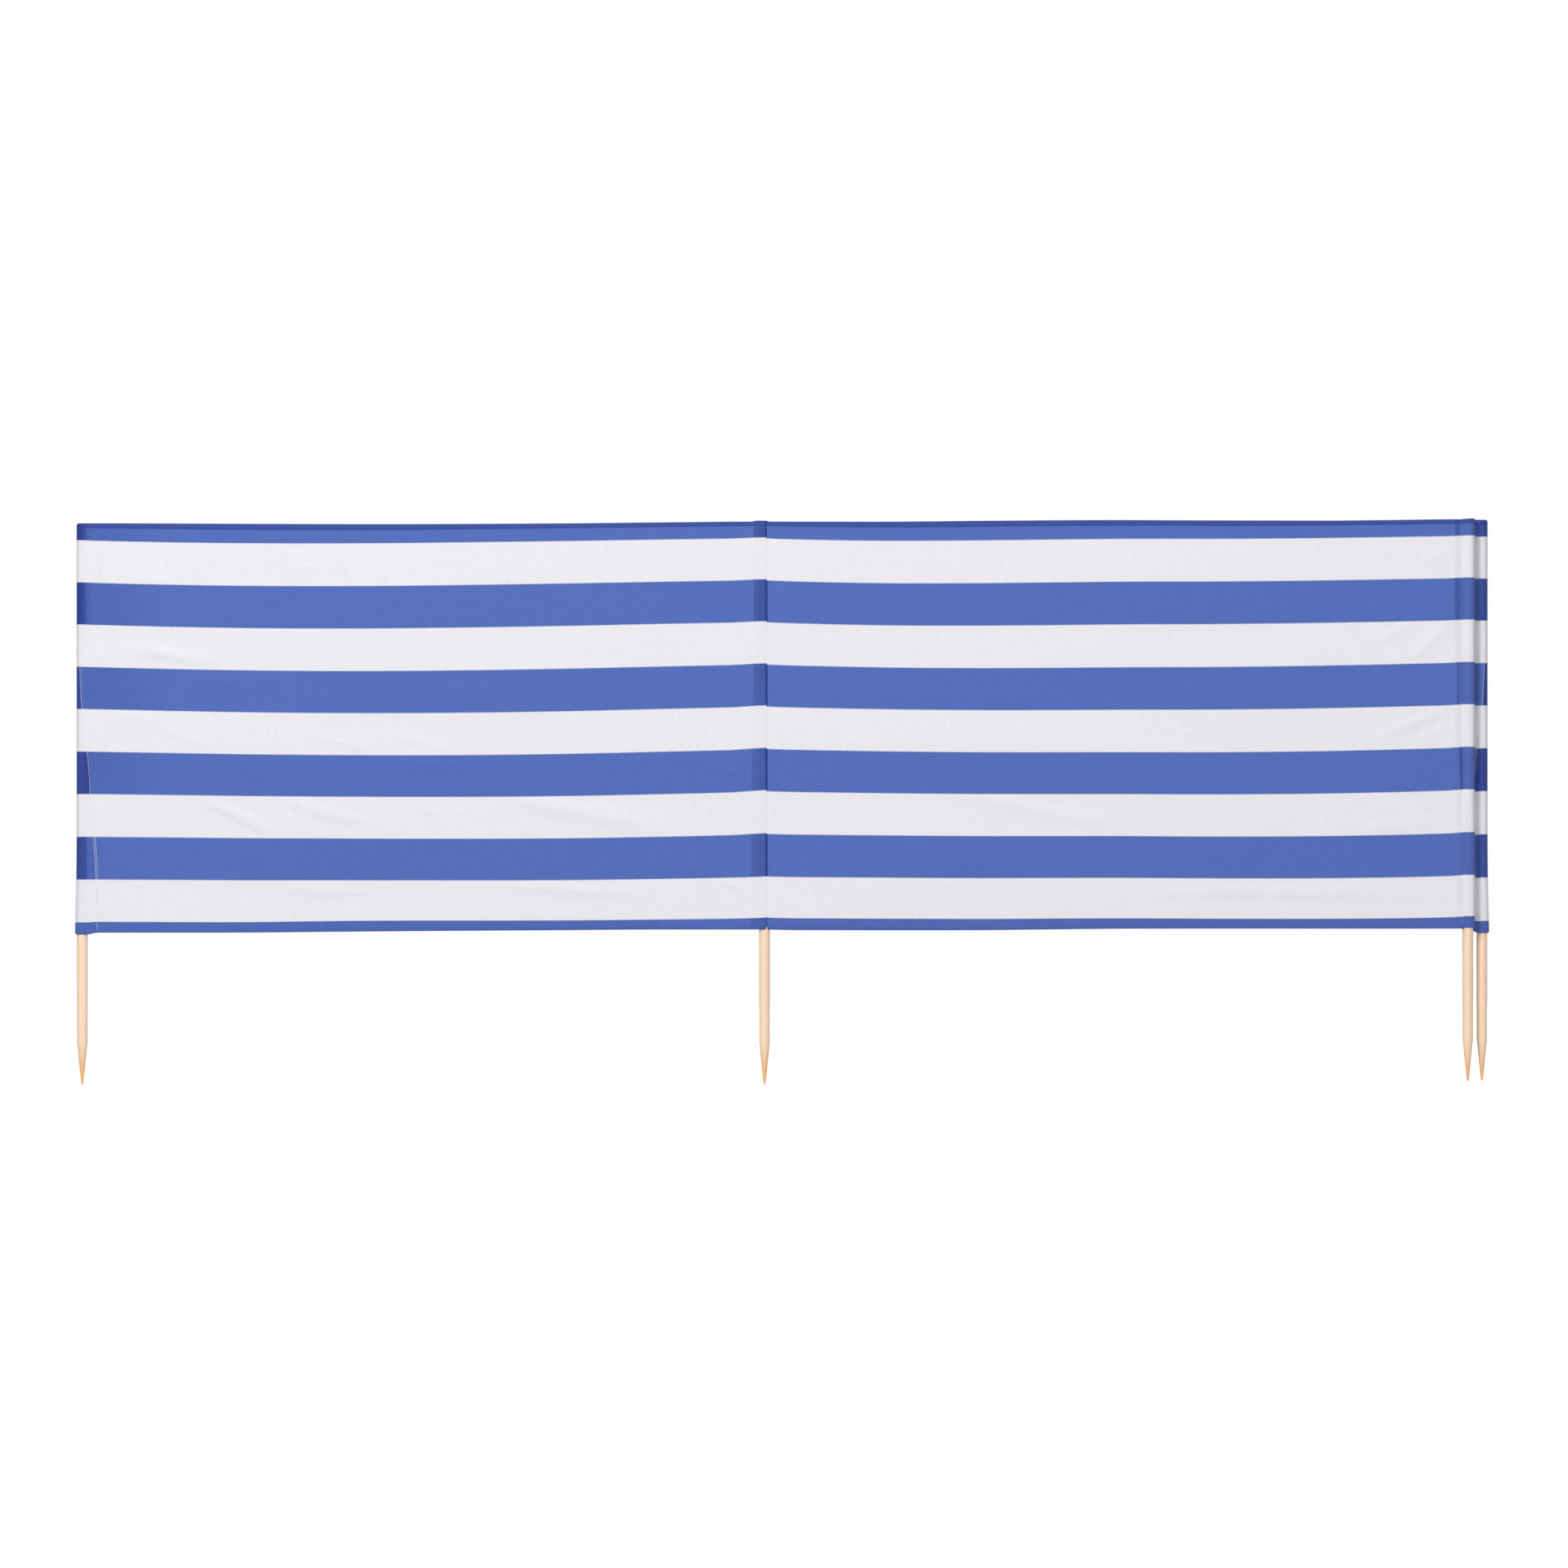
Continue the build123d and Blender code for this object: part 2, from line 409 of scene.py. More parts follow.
def rolled(down):
    """The turn of the cloth over its top or bottom edge: how far back, and how far from the edge."""
    from_edge = min(down, CLOTH_DEPTH - down)
    if from_edge >= EDGE_TURN:
        return 0, 0
    turn = math.pi / 2 * from_edge / EDGE_TURN
    drop = EDGE_ROLL * (1 - math.cos(turn)) - from_edge
    return EDGE_ROLL * (1 - math.sin(turn)), drop if down < CLOTH_DEPTH / 2 else -drop


def folded(x, z, folds):
    """How far the cloth stands out at x, z from its shallow folds and its gentle waves."""
    out = waved(x, z, WAVES)
    for x0, z0, x1, z1, width, depth in folds:
        dx, dz = x1 - x0, z1 - z0
        long = math.hypot(dx, dz)
        along = ((x - x0) * dx + (z - z0) * dz) / long
        if -width * 3 < along < long + width * 3:
            off = (dx * (z - z0) - dz * (x - x0)) / long
            if abs(off) < width * 3.5:
                begun = ease(along, -width * 3, long * 0.4)
                ended = ease(along, long * 0.6, long + width * 3)
                ridge = hump(off, FOLD_RIDGE * width, width)
                out += FOLD_DEPTH * depth * begun * (1 - ended) * ridge
    return out


def dimpled(down):
    """The cloth is pulled in a little along the hem stitching."""
    at_top = hump(down, HEM_STITCH, DIMPLE)
    at_foot = hump(CLOTH_DEPTH - down, FOOT_HEM_STITCH, DIMPLE)
    return 0.3 * at_top + 0.2 * at_foot


def woven(name, pattern):
    """A cotton cloth. Its pattern is laid out on the flat cloth, in metres from its top left corner."""
    made = bpy.data.materials.new(name)
    cloth = new_shade(made)
    flat = cloth.node("ShaderNodeUVMap", {"uv_map": "flat_cloth"}, {})
    across = cloth.node("ShaderNodeSeparateXYZ", {}, {0: flat}, out="X")
    down = cloth.node("ShaderNodeSeparateXYZ", {}, {0: flat}, out="Y")
    layers_and_shade = cloth.node("ShaderNodeAttribute", {"attribute_name": "layers_and_shade"}, {}, out="Fac")
    doubled = cloth.node("ShaderNodeAttribute", {"attribute_name": "doubled"}, {}, out="Fac")
    colour = pattern(cloth, down, layers_and_shade, doubled.between(-0.04, 0.04))

    def uneven(scale, detail=3, turn=0.0):
        place = cloth.node("ShaderNodeMapping", {}, {0: flat, "Rotation": (0, 0, turn), "Scale": scale})
        return cloth.node("ShaderNodeTexNoise", {}, {"Vector": place, "Scale": 1, "Detail": detail})

    warp = uneven((260, 14, 1))
    weft = uneven((12, 420, 1))
    fluff = uneven((520, 520, 520))
    blotches = uneven((75, 75, 75))
    creases = uneven((22, 70, 1), detail=2, turn=0.5)
    slubs = 0.925 + 0.035 * warp + 0.03 * weft + 0.025 * fluff + 0.06 * blotches
    per_metre = 2 * math.pi / THREAD_PITCH
    threads = (across * per_metre).sine() * (down * per_metre).sine()
    relief = threads * 0.00002 + warp * 0.00006 + weft * 0.00005 + creases * 0.0007
    cloth.node(
        "ShaderNodeBsdfPrincipled",
        {},
        {
            "Base Color": colour.tinted(slubs),
            "Roughness": 0.9,
            "Specular IOR Level": 0.2,
            "Sheen Weight": 0.08,
            "Sheen Roughness": 0.5,
            "Normal": cloth.node(
                "ShaderNodeBump", {}, {"Height": relief, "Strength": 1.0, "Distance": 1.0}
            ),
        },
    ).show("ShaderNodeOutputMaterial")
    return made


def stripes(cloth, down, layers_and_shade, doubled):
    """Woven stripes. They are deeper where the cloth lies double and along the hems, partly as the
    cloth's own colour and partly as painted shade of the layers, and painted shade darkens the
    seams, the folds beside them and the hem stitching.
    """

    def past(edge, before, after):
        return down.between((edge - before) * MM, (edge + after) * MM)

    bands = (down - FIRST_BAND * MM) * (math.pi / (BAND * MM))
    last_band = past(LAST_EDGE, 1, 1)
    pale = (bands.sine() * 12 + 0.5).between(0, 1) * (1 - last_band)
    hem = 1 - past(HEM_STITCH, 1.0, 2.2)
    # Painted shade along the row of hem stitching
    row = past(HEM_STITCH, 2.4, -0.2) * (1 - past(HEM_STITCH, -0.2, 2.4))
    foot = past(CLOTH_DEPTH, 3.4, -1.4)
    # The layers and painted shade, and a thin painted shadow along the edge of the double cloth
    double = (layers_and_shade + doubled * 0.42) * (1 - last_band * 0.5)
    deep = (double + last_band * 0.12).larger(hem * 0.57 + row * 0.14 + layers_and_shade * 0.3)
    deep = deep.larger(foot * 0.5).smaller(1)
    blue, white = cloth.blend(deep, BLUE, LAYERED_AND_SHADED_BLUE), cloth.blend(deep, WHITE, LAYERED_AND_SHADED_WHITE)
    return cloth.blend(pale, blue, white)


striped_cloth = woven("striped_cloth", stripes)


def lay_cloth(name, across, rows, place, body, closed=False):
    """Lays a piece of cloth. place(across, down) gives its point in mm, how much deeper its blue is
    made for the layers and as painted shade, and how many centimetres it lies inside the part
    that is double."""
    bm = bmesh.new()
    bmesh.ops.create_grid(bm, x_segments=len(across) - 1, y_segments=len(rows) - 1, size=1)
    flat_cloth = bm.loops.layers.uv.new("flat_cloth")
    layers_and_shade_values = bm.verts.layers.float.new("layers_and_shade")
    doubling = bm.verts.layers.float.new("doubled")
    flat = {}
    for vert in bm.verts:
        column = across[round((vert.co.x + 1) / 2 * (len(across) - 1))]
        row = rows[round((1 - vert.co.y) / 2 * (len(rows) - 1))]
        flat[vert] = (column * MM, row * MM)
        point, vert[layers_and_shade_values], inside = place(column, row)
        vert[doubling] = min(max(inside, -1), 1)
        vert.co = Vector(point) * MM
    for face in bm.faces:
        face.smooth = True
        for loop in face.loops:
            loop[flat_cloth].uv = flat[loop.vert]
    if closed:
        bmesh.ops.remove_doubles(bm, verts=bm.verts, dist=1e-6)
        bmesh.ops.recalc_face_normals(bm, faces=bm.faces)
    mesh = bpy.data.meshes.new(name)
    bm.to_mesh(mesh)
    bm.free()
    mesh.materials.append(striped_cloth)
    piece = link(name, mesh)
    thick = piece.modifiers.new("cloth_thickness", "SOLIDIFY")
    thick.thickness = CLOTH_THICKNESS * MM
    thick.offset = 0
    level = piece.modifiers.new("level_shading", "WEIGHTED_NORMAL")
    level.mode = "FACE_AREA"
    level.weight = 100
    if body:
        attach(piece, body)
    return piece


def round_pole(beyond, z, side):
    """Where the cloth lies beside the middle of an end pole, at beyond mm of cloth past its front."""
    wide = through(SLEEVE_WIDTH, z)
    reach = through(SLEEVE_REACH, z)
    leave = 2 * math.atan(reach / SLEEVE_BACK) - math.pi / 2
    if beyond <= WRAP_ARC:
        turn = -math.pi / 2 - (1.5 * math.pi - leave) * beyond / WRAP_ARC
        x = (wide if math.cos(turn) < 0 else SLEEVE_BACK) * math.cos(turn)
        y = (-CLOTH_Y if math.sin(turn) < 0 else SLEEVE_BACK) * math.sin(turn)
    else:
        t = (beyond - WRAP_ARC) / WRAP_TAIL
        x = SLEEVE_BACK * math.cos(leave) * (1 - t) + reach * t
        y = SLEEVE_BACK * math.sin(leave) * (1 - t) + (CLOTH_Y + 0.5) * t
    return side * x, y


def capped(down):
    """The closed top of a sleeve, which lies on the end of its pole: how far in, and how far down."""
    if down >= CAP_CORNER:
        return 0, down
    if down >= EDGE_TURN:
        turn = math.pi / 2 * (CAP_CORNER - down) / (CAP_CORNER - EDGE_TURN)
        return CAP_CORNER * (1 - math.cos(turn)), CAP_CORNER * (1 - math.sin(turn))
    return CAP_CORNER + (CAP_DEPTH - CAP_CORNER) * (1 - down / EDGE_TURN), 0


def sleeve_shade(aside, z, seam, side):
    """How deep the blue is made on the front of a sleeve, aside mm from the middle of its pole towards
    the bay, and how many centimetres that lies inside the double cloth. Part of it is the cloth lying
    double, and part is painted shade where the cloth turns round the pole and beside the seam."""
    sewn = 1 - ease(aside, seam - 1, seam + 1)
    if z < HEM_TOP:
        return 0.12 * sewn, -1
    # Painted shade where the cloth turns round the pole, darkest at the sleeve's edge
    turned = 0.66 * (1 - ease(aside, -4, 13)) + 0.24 * (1 - ease(aside, 3, 21))
    turned *= 1 if side > 0 else 0.8
    # Painted shadow beside the sewn-down end's edge, and low down painted shade of a fold by the seam
    beside = 0.2 * hump(aside, seam + 1.4, 1.3)
    beside += 0.14 * hump(aside, seam + 12, 4) * ease(LOW_SEAM - z, 0, 30)
    rear = 0.16 * (side < 0) * ease(LOW_SEAM + 40 - z, 0, 60)
    # The sewn-down end lies double, deeper still over the pole as painted shade of the pole behind it
    low = sewn * (0.22 + 0.16 * (1 - ease(aside, -12, 10))) + beside - rear
    inside = min(seam, 9.4 + 12 * ease(z, LOW_SEAM - 20, LOW_SEAM + 10)) - aside
    return turned + (low - turned) * ease(TURNED_ABOVE - z, 0, 30), inside / 10


def sleeved(x, down, number, side, top_line, foot_line, span, face, lift=POLE_LIFT, lean=0):
    """A bay that ends in a sleeve round an end pole. side is 1 where the bay lies to the pole's right
    and -1 to its left. face(x, z) is how far back the bay's face lies, and x past the pole is cloth
    turned round it. lean is how much higher the seam lies than at pole 1."""
    centre = POLE[number]
    beyond = (centre.x - x) * side
    near = min(max(x, span[0]), span[1])
    z = hung(near, down, through(top_line, near), through(foot_line, near), *span, lift)
    if beyond > 0:
        dx, dy = round_pole(beyond, z - lean, side)
        at = centre.x + dx
        z = hung(near, down, through(top_line, at), through(foot_line, at), *span, lift)
    else:
        at, dy = x, face(x, z) - centre.y
        dx = at - centre.x
    back, drop = rolled(down)
    plain_y = dy + back + dimpled(down) * (beyond <= 0)
    capping = 1 - ease(abs(dx), CAP_FROM, CAP_TO) if beyond <= 0 or beyond > WRAP_ARC else 1
    inward, low = capped(down)
    top = through(top_line, at)
    cap_y = dy * (1 - 0.97 * min(inward / CAP_DEPTH, 1))
    cap_x = dx * (1 - min(inward, CAP_CORNER) / CAP_DEPTH)
    y = plain_y + (cap_y - plain_y) * capping
    x = at + (centre.x + cap_x - at) * capping
    aside = dx * side
    raised = ease(aside, *SLEEVE_DROP_ENDS[number])
    narrowed = 0.75 * (1 - ease(aside, 250, 600)) * (1 - ease(down, LAST_EDGE, CLOTH_DEPTH))
    lowered = ease(down, LAST_EDGE - 72, LAST_EDGE)
    z -= drop + SLEEVE_DROP * (1 - raised + raised * narrowed) * lowered
    if down < CAP_CORNER:
        z += (top - low - z) * capping
    soft, inside = 0.1, -1
    if beyond <= WRAP_ARC * 0.45:
        soft, inside = sleeve_shade(aside, z, through(SLEEVE_SEAM, z - lean), side)
    if beyond > 0:
        z += 1.6 * (min(max(-aside - 10, 0), 4) / 4) ** 3 * ease(down, 790, 800)
    return (x, centre.y + y, z), soft, inside


SLACK_EDGE = [(295, -27.5), (560, -25.5), (800, -22.0), (1110, -21.3)]
SPAN_1 = (POLE[1].x, SEAM_2)
RIGHT_END_FROM = -200
SLACK_SHADED_ABOVE = 860


def front_1(x, z):
    """How far back the face of bay 1 lies at x, z."""
    free = ease(x, POLE[1].x + 10, POLE[1].x + 36) * (1 - ease(x, -60, -22))
    into_seam = SEAM_DEPTH * ease(x, 0.6, SEAM_2)
    sewn = 0.25 * hump(x - POLE[1].x, through(SLEEVE_SEAM, z), 1.2)
    return CLOTH_Y - free * folded(x, z, FOLDS_1) + into_seam + sewn


def bay_1_place(x, down):
    """The left end is sewn to its sleeve and a little deeper in the upper bands. The right end is
    lifted at the seam, and its blue is deeper over the slack of the pocket behind it, partly as the
    layers lying double and partly as painted shade of them, with a line of painted shade in the seam."""
    (px, y, z), soft, inside = sleeved(x, down, 1, 1, TOP_LINE, FOOT_LINE, SPAN_1, front_1)
    beside = x - POLE[1].x
    soft += 0.19 * ease(z, 530, 600) * (ease(beside, -1, 8) - ease(beside, 9, 190))
    if x > RIGHT_END_FROM:
        z += SEAM_2_LIFT * ease(x, -75, 0) * ease(down, 4, 40) * (1 - ease(down, 560, 700))
        inside = (x - through(SLACK_EDGE, z)) / 10
        # Deeper over the pocket's slack, partly as the layers and partly as their painted shade
        soft = 0.15 * ease(x, -21, -4) - 0.15 * ease(SLACK_SHADED_ABOVE - z, 0, 90)
        # Painted shade in the groove of seam 2
        soft += 0.9 * ease(x, 1.2, 3.2)
        z += notched(x, down)
    return (px, y, z), soft, inside


bay_1_columns = [POLE[1].x - beyond for beyond in reversed(WRAP)] + columns(POLE[1].x, SEAM_2)
bay_1_sheet = lay_cloth("bay_1_sheet", bay_1_columns, SHEET_ROWS, bay_1_place, "bay_1")
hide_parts("bay_1_cloth", "end_sleeve_1")


# Bay 2: the same cloth, from the seam at pole 2 to the seam at pole 3, where it runs back to
# meet the third bay. Drag folds run down from the seam at pole 3.
POCKET_RADIUS = 10.95
POCKET_SLACK = 5.0
BAY_2_END = 1363.0
SEAM_3_TURN = [(295, 56), (430, 57), (560, 51), (700, 46), (850, 44), (1110, 43)]
# Painted shade of the fold that runs down beside the seam: height, from x, to x and how deep
# it looks
SEAM_3_FOLD_SHADE = [
    (577, 1360, 1367, 0.55), (659, 1357.3, 1363.4, 0.55), (740, 1354.2, 1358.4, 0.5),
    (826, 1353.8, 1358.2, 0.5), (905, 1349, 1360, 0.4), (1110, 1349, 1360, 0.4),
]


def seam_3(z):
    """Where the bay meets the flank of the pocket's loop."""
    turn = math.radians(through(SEAM_3_TURN, z))
    radius = POCKET_RADIUS - 0.1
    return POLE[3].x - POCKET_SLACK / 2 - radius * math.cos(turn), -radius * math.sin(turn)


def front_2(x, z):
    free = ease(x, 12, 36) * (1 - ease(x, 1330, 1359))
    out_of_seam = SEAM_DEPTH * (1 - ease(x, SEAM_2, SEAM_2 + 3.4))
    seam_x, seam_y = seam_3(z)
    into_seam = (seam_y - CLOTH_Y) * ease(x, seam_x - 17, seam_x + 4) / ease(17, 0, 21)
    return CLOTH_Y - free * folded(x, z, FOLDS_2) + out_of_seam + into_seam


def bay_2_place(across, down):
    z = hung(across, down, through(TOP_LINE, across), through(FOOT_LINE, across), SEAM_2, POLE[3].x)
    z += 1.2 * ease(across, 1330, 1362) * ease(down, 4, 40) * ease(CLOTH_DEPTH - down, 0, 60)
    x = across + (seam_3(z)[0] - BAY_2_END) * ease(across, 1320, BAY_2_END)
    back, drop = rolled(down)
    fold_from, fold_to, depth = (
        through([(key[0], key[i]) for key in SEAM_3_FOLD_SHADE], z) for i in (1, 2, 3)
    )
    # Painted shade of that fold
    fold = ease(x, fold_from - 1, fold_from + 1.5) * (1 - ease(x, fold_to - 1, fold_to + 1))
    fold = depth * fold * ease(z, 548, 580)
    # Painted shade in the groove of seam 2
    seam_2_shade = 1 - ease(x, SEAM_2 + 1.4, SEAM_2 + 2.9)
    y = front_2(x, z) + back + dimpled(down)
    return (x, y, z - drop + notched(x, down)), 0.85 * seam_2_shade + fold, -1


bay_2_sheet = lay_cloth("bay_2_sheet", columns(SEAM_2, BAY_2_END), SHEET_ROWS, bay_2_place, "bay_2")
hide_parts("bay_2_cloth")


# Pole pockets: a tuck of the cloth, sewn off beside the pole so that it stays behind the bays,
# and closed at the top, where the hem is sewn flat above the end of the pole.
POCKET_ROUND = 78.0
POCKET_COLUMNS = [POCKET_ROUND * i / 56 for i in range(57)]
POCKET_ROWS = (
    [0, 0.3, 0.7, 1.2, 1.8, 2.5, 3.3, 4.2, 5.2, 6.4, 7.6, 8.2, 8.8, 10, 14, 18]
    + [26 + 9.6 * i for i in range(80)]
    + [790, 795, 799.6]
)
SEWN_HALF = 0.3


def pocket(name, node, body, centre, peak, foot, closing, flat, aside, tilt, layers_and_shade):
    """A loop round a middle pole, from its peak down to its foot, sewn flat over the first closing mm.
    flat is half the width of the sewn top, aside is how far it lies beside the pole, and tilt is how
    much higher its right end is. layers_and_shade is how much deeper its blue is made."""
    def place(across, down):
        turn = 2 * math.pi * across / POCKET_ROUND - math.pi / 2
        right, back = math.cos(turn), math.sin(turn)
        shut = (down / closing) ** 0.3 if down < closing else 1
        slack = POCKET_SLACK / 2 * right / max(abs(right), 0.35) * shut
        ripple = noise.noise(Vector((right * 1.3, back * 1.3, down / 170)))
        radius = POCKET_RADIUS + 0.35 * ease(down, 20, 120) * ripple
        wide = flat + (radius - flat) * shut
        deep = SEWN_HALF + (radius - SEWN_HALF) * shut
        top_shape = (tilt * right - 1.8 * abs(right) ** 5) * (1 - ease(down, 0, 24))
        x = centre + aside * (1 - shut) + slack + wide * right
        z = hung(centre, down, peak, foot, centre, centre + 1) + top_shape
        return (x, deep * back, z), layers_and_shade * (1.6 if right < -0.75 else 1), -1

    piece = lay_cloth(name, POCKET_COLUMNS, POCKET_ROWS, place, body, closed=True)
    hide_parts(node)
    return piece


pocket_2 = pocket(
    "pocket_2_loop", "pocket_2", "bay_1", centre=-POCKET_SLACK / 2, peak=1102.8, foot=308.6,
    closing=7.0, flat=15.6, aside=-4.8, tilt=0, layers_and_shade=0.5)
pocket_3 = pocket(
    "pocket_3_loop", "pocket_3", "bay_2", centre=POLE[3].x, peak=1106.9, foot=306.6,
    closing=4.0, flat=14.4, aside=0.4, tilt=0.8, layers_and_shade=0.12)


# Bay 3 is folded double behind bay 2: its inner half runs back from pole 3 to a soft crease,
# and its outer half comes forward again to pole 4, where it ends in a sleeve as bay 1 does.
INNER_Y = 12.0
OUTER_Y = 17.9
CREASE = Vector((713.5, 14.4))
TURN_3 = POLE[3].x + POCKET_SLACK / 2
REAR_LIFT = 4.6
REAR_TOP = [
    (713.5, 1103.9), (1060, 1103.2), (1300, 1103.6), (1380, 1104.2), (1392, 1104.8), (1420, 1104.9),
]
REAR_FOOT = [
    (713.5, 306.2), (1060, 306.0), (1300, 306.6), (1365, 305.2), (1378, 302.6),
    (1387, 300.4), (1396, 299.8), (1404, 299.7), (1420, 299.7),
]
SPAN_3 = (CREASE.x, POLE[4].x)
REAR_LEAN = 3.0
REAR_WAVES = [(1.1, 190, 140, 5.7), (0.25, 60, 50, 2.2)]


def rear_relief(x, z):
    free = ease(x, CREASE.x, 760) * (1 - ease(x, 1310, 1372))
    return free * waved(x, z, REAR_WAVES)


def inner_face(x, z):
    return INNER_Y + rear_relief(x, z) - CLOTH_THICKNESS * ease(x, TURN_3 - 4, TURN_3)


def outer_face(x, z):
    return OUTER_Y + rear_relief(x, z)


def inner_place(x, down):
    z = hung(x, down, through(REAR_TOP, x), through(REAR_FOOT, min(x, 1280)), CREASE.x, TURN_3)
    back, drop = rolled(down)
    return (x, inner_face(x, z) - back - dimpled(down), z - drop), 0.1, -1


def outer_place(x, down):
    return sleeved(x, down, 4, -1, REAR_TOP, REAR_FOOT, SPAN_3, outer_face, REAR_LIFT, REAR_LEAN)


inner_sheet = lay_cloth(
    "bay_3_inner_sheet", columns(CREASE.x, TURN_3, coarse=12), SHEET_ROWS, inner_place, "bay_3_inner")
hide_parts("bay_3_inner_cloth")
outer_columns = columns(CREASE.x, POLE[4].x) + [POLE[4].x + beyond for beyond in WRAP]
outer_sheet = lay_cloth("bay_3_outer_sheet", outer_columns, SHEET_ROWS, outer_place, "bay_3_outer")
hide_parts("bay_3_outer_cloth", "end_sleeve_4")


# The soft crease of bay 3 and the cloth that turns the corner at seam 2. Both are strips of the
# same cloth.
CREASE_ARC = 9.2
STRIP_RADIUS = 11.3
STRIP_LIFT = 0.6
STRIP_FROM, STRIP_SPAN = 16, 11
STRIP_THICKNESS = 0.2
STRIP_ROWS = [row for row in SHEET_ROWS if 1 < row < 791]


def crease_place(across, down):
    z = hung(CREASE.x, down, through(REAR_TOP, CREASE.x), through(REAR_FOOT, CREASE.x), *SPAN_3)
    back, drop = rolled(down)
    turn = -math.pi / 2 - math.pi * across / CREASE_ARC
    first, last = CREASE.y - INNER_Y, OUTER_Y - CREASE.y
    radius = first + (last - first) * across / CREASE_ARC - back
    return (CREASE.x + radius * math.cos(turn), CREASE.y + radius * math.sin(turn), z - drop), 0, -1


crease_strip = lay_cloth(
    "bay_3_crease", [CREASE_ARC * i / 16 for i in range(17)], SHEET_ROWS, crease_place, None)
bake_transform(crease_strip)


def seam_place(across, down):
    z = hung(SEAM_2, down, through(TOP_LINE, SEAM_2), through(FOOT_LINE, SEAM_2), *SPAN_1)
    turn = math.radians(STRIP_FROM + STRIP_SPAN * across)
    radius = STRIP_RADIUS + STRIP_LIFT * ease(across, 0.3, 0.9)
    # The strip in the groove is painted deep blue as painted shade
    return (radius * math.sin(turn), -radius * math.cos(turn), z), 0.9, -1


seam_strip = lay_cloth("seam_2_strip", [i / 24 for i in range(25)], STRIP_ROWS, seam_place, None)
seam_strip.modifiers["cloth_thickness"].thickness = STRIP_THICKNESS * MM
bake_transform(seam_strip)


# Hems: the top and bottom edges of every bay are turned over to the back, with the raw edge
# tucked in, and sewn down with one row of blue thread.
def hem_place(face, line, width, faces_back, at_top):
    """Where the turned-over cloth lies at x, turned mm past the edge of its sheet."""
    def place(x, turned):
        z = through(line, x)
        turn = math.pi / 2 * min(turned / EDGE_TURN, 1)
        back = EDGE_ROLL * (1 + math.sin(turn)) - CLOTH_THICKNESS * ease(turned, width - 1.2, width)
        from_edge = EDGE_ROLL * (1 - math.cos(turn)) + max(turned - EDGE_TURN, 0)
        y = face(x, z) + (-back if faces_back else back)
        return (x, y, z - from_edge if at_top else z + from_edge), 0.3, -1

    return place


HEM_WIDTH = {"top": 8.9, "bottom": 6.3}
FRONT_LINES = (TOP_LINE, FOOT_LINE)
REAR_LINES = (REAR_TOP, REAR_FOOT)
# Each bay's name, body, from and to x of its hems, face, edge lines, whether its front faces back,
# and the place of its cloth
BAYS = [
    ("1", "bay_1", (POLE[1].x + 13, SEAM_2 - 1.6), front_1, FRONT_LINES, False, bay_1_place),
    ("2", "bay_2", (SEAM_2 + 1.6, 1358), front_2, FRONT_LINES, False, bay_2_place),
    ("3_inner", "bay_3_inner", (CREASE.x + 3, 1358), inner_face, REAR_LINES, True, inner_place),
    (
        "3_outer", "bay_3_outer", (CREASE.x + 3, POLE[4].x - 13),
        outer_face, REAR_LINES, False, outer_place,
    ),
]
hems = {}
hem_places = {}
for bay, body, (start, end), face, lines, faces_back, place in BAYS:
    hems[bay] = []
    for edge, line in zip(("top", "bottom"), lines):
        width = HEM_WIDTH[edge]
        fold = hem_place(face, line, width, faces_back, edge == "top")
        steps = [0, 0.3, EDGE_TURN, 2.5, width * 0.6, width - 1.4, width - 0.6, width]
        piece = lay_cloth(
            f"{edge}_hem_{bay}_fold", columns(start, end), steps, fold, body)
        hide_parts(f"{edge}_hem_{bay}")
        hems[bay].append(piece)
        hem_places[bay, edge] = fold


# Stitching: one row of blue thread through every hem, seen on both faces. The end sleeves and
# the two upright seams are sewn with pale thread, packed close at their top and bottom ends.
STITCH_PITCH = 3.2
STITCH_FILL = 0.81
STITCH_RUN = 24
HEM_SLANT = 0.15
ROUND_POLE = 50
THREAD = 0.5
THREAD_CLEAR = 0.02
ASIDE = 0.4
BLUE_THREAD = ((0.038, 0.068, 0.295, 1), (0.050, 0.088, 0.345, 1))
PALE_THREAD = ((0.72, 0.735, 0.83, 1), (0.86, 0.86, 0.90, 1))


def twisted_thread(name, shades):
    made = bpy.data.materials.new(name)
    strand = new_shade(made)
    place = strand.node("ShaderNodeTexCoord", {}, {}, out="Object")
    plies = strand.node("ShaderNodeTexNoise", {}, {"Vector": place, "Scale": 1400, "Detail": 2})
    strand.node(
        "ShaderNodeBsdfPrincipled",
        {},
        {
            "Base Color": strand.blend(plies.between(0.35, 0.65), *shades),
            "Roughness": 0.6 + 0.2 * plies,
            "Specular IOR Level": 0.3,
            "Normal": strand.node(
                "ShaderNodeBump", {}, {"Height": plies, "Strength": 0.3, "Distance": 0.0001}
            ),
        },
    ).show("ShaderNodeOutputMaterial")
    return made


blue_thread = twisted_thread("blue_thread", BLUE_THREAD)
pale_thread = twisted_thread("pale_thread", PALE_THREAD)


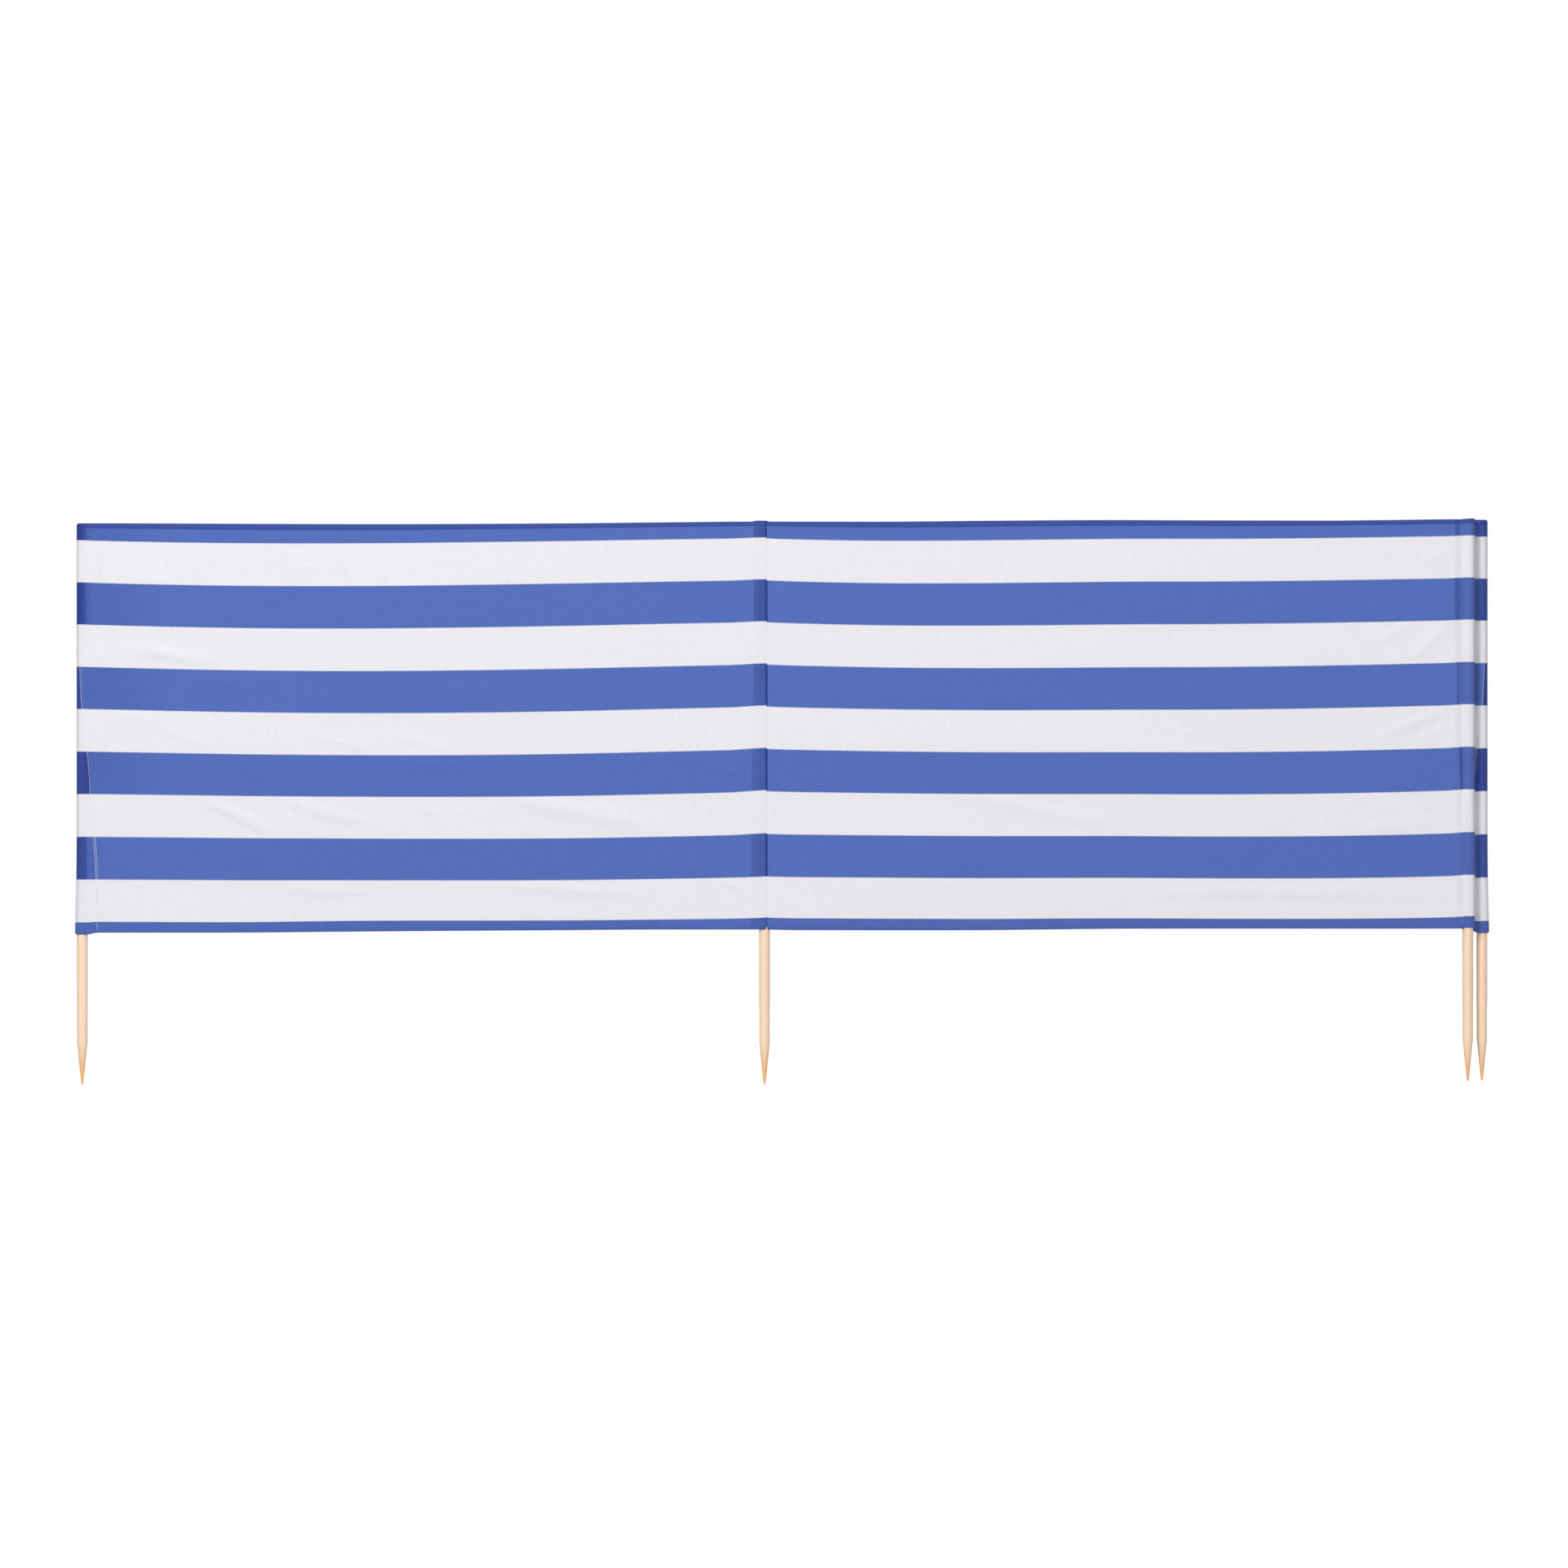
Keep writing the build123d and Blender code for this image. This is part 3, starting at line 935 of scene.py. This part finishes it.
def sew(name, body, thread, rows, thick=THREAD, fill=STITCH_FILL):
    """Sews rows of stitches into one piece. Each row has the cloth's place, a path that gives the
    cloth's across and down at s, the length, the face it shows on, the pitch, the slant and whether
    the slant turns about from stitch to stitch."""
    whole = bmesh.new()
    runs = [
        (row, first, min(STITCH_RUN, round(row[2] / row[4]) - first))
        for row in rows for first in range(0, max(round(row[2] / row[4]), 1), STITCH_RUN)
    ]
    for (place, path, _, outward, pitch, slant, zigzag), skipped, count in runs:
        long = pitch * fill
        bm = bmesh.new()
        bmesh.ops.create_uvsphere(
            bm, u_segments=6, v_segments=4, radius=0.5,
            matrix=Matrix.Diagonal((long, thick, thick, 1)) @ Matrix.Rotation(math.pi / 2, 4, "Y"))
        if count > 1:
            bmesh.ops.spin(
                bm, geom=bm.verts[:] + bm.edges[:] + bm.faces[:], cent=(0, 0, 0), axis=(0, 0, 1),
                dvec=(pitch, 0, 0), angle=0, steps=count - 1, use_duplicate=True)
        ends = []
        for number in range(count):
            s = (skipped + number + 0.5) * pitch
            first, last = (Vector(place(*path(s + d))[0]) for d in (-long / 2, long / 2))
            across, down = path(s)
            right = Vector(place(across + ASIDE, down)[0]) - Vector(place(across - ASIDE, down)[0])
            below = Vector(place(across, down + ASIDE)[0]) - Vector(place(across, down - ASIDE)[0])
            out = below.cross(right).normalized() * outward
            lift = out * (CLOTH_THICKNESS / 2 + THREAD_CLEAR)
            side = out.cross(last - first).normalized()
            lean = side * slant * (1 if not zigzag or number % 2 else -1) / 2
            ends.append((first + lift - lean, last + lift + lean, side, out))
        for vert in bm.verts:
            number = min(max(round(vert.co.x / pitch), 0), count - 1)
            first, last, side, out = ends[number]
            share = (vert.co.x - number * pitch) / long + 0.5
            vert.co = (first.lerp(last, share) + side * vert.co.y + out * vert.co.z) * MM
        for bit in bm.faces:
            bit.smooth = True
        row = bpy.data.meshes.new("row")
        bm.to_mesh(row)
        bm.free()
        whole.from_mesh(row)
        bpy.data.meshes.remove(row)
    mesh = bpy.data.meshes.new(name)
    whole.to_mesh(mesh)
    whole.free()
    mesh.materials.append(thread)
    piece = link(name, mesh)
    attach(piece, body)
    return piece


def level_row(start, down):
    return lambda s: (start + s, down)


def upright_row(across, start):
    return lambda s: (across, start + s)


def sleeve_row(number, side, top, lean, beside=0):
    """The slanting seam of an end sleeve, from the top down."""
    def path(s):
        down = top + s
        z = SLEEVE_TOP - down + lean
        offset = through(SLEEVE_SEAM, z - lean) + beside * ease(z, 318, 420) * (1 - ease(z, 500, 640))
        return POLE[number].x + side * offset, down

    return path


for bay, body, (start, end), face, lines, faces_back, place in BAYS:
    front = -1 if faces_back else 1
    from_x = {"1": POLE[1].x - ROUND_POLE}.get(bay, start)
    to_x = {"3_outer": POLE[4].x + ROUND_POLE, "2": BAY_2_END}.get(bay, end)
    rows = []
    for edge, down, turned in (
        ("top", HEM_STITCH, HEM_STITCH),
        ("bottom", CLOTH_DEPTH - FOOT_HEM_STITCH, FOOT_HEM_STITCH),
    ):
        behind = -front if edge == "top" else front
        fold = hem_places[bay, edge]
        rows += [
            (place, level_row(from_x, down), to_x - from_x, front, STITCH_PITCH, HEM_SLANT, False),
            (fold, level_row(start, turned), end - start, behind, STITCH_PITCH, HEM_SLANT, False),
        ]
    sew(f"hem_stitches_{bay}", body, blue_thread, rows)

for bay, number, side, lean, body, place in (
    ("1", 1, 1, 0, "bay_1", bay_1_place), ("4", 4, -1, REAR_LEAN, "bay_3_outer", outer_place)
):
    sew(f"sleeve_stitches_{bay}", body, pale_thread, [
        (place, sleeve_row(number, side, 240, lean), 555, 1, 2.4, 0.1, False),
        (place, sleeve_row(number, side, 560, lean, 3.0), 200, 1, 2.4, 0.1, False),
    ], thick=0.95, fill=0.95)

sew("seam_2_tacks", "bay_2", pale_thread, [
    (bay_2_place, upright_row(SEAM_2 + 1.2, 1.5), 30, 1, 3.8, 2.0, False),
    (bay_2_place, upright_row(SEAM_2 + 0.6, 778), 12, 1, 2.6, 0.8, False),
], thick=0.42, fill=0.7)
sew("seam_3_tacks", "bay_2", pale_thread, [
    (bay_2_place, upright_row(1361.0, 3), 28, 1, 4.6, 1.5, True),
    (bay_2_place, upright_row(1361.4, 781), 9, 1, 4.5, 0.8, True),
], thick=0.42, fill=0.5)
sew("seam_3_stitches", "bay_2", blue_thread, [
    (bay_2_place, upright_row(1361.2, FIRST_BAND + BAND * band + 1), BAND - 2, 1, 3.6, 1.4, True)
    for band in (1, 3, 5, 7)
], thick=0.7)
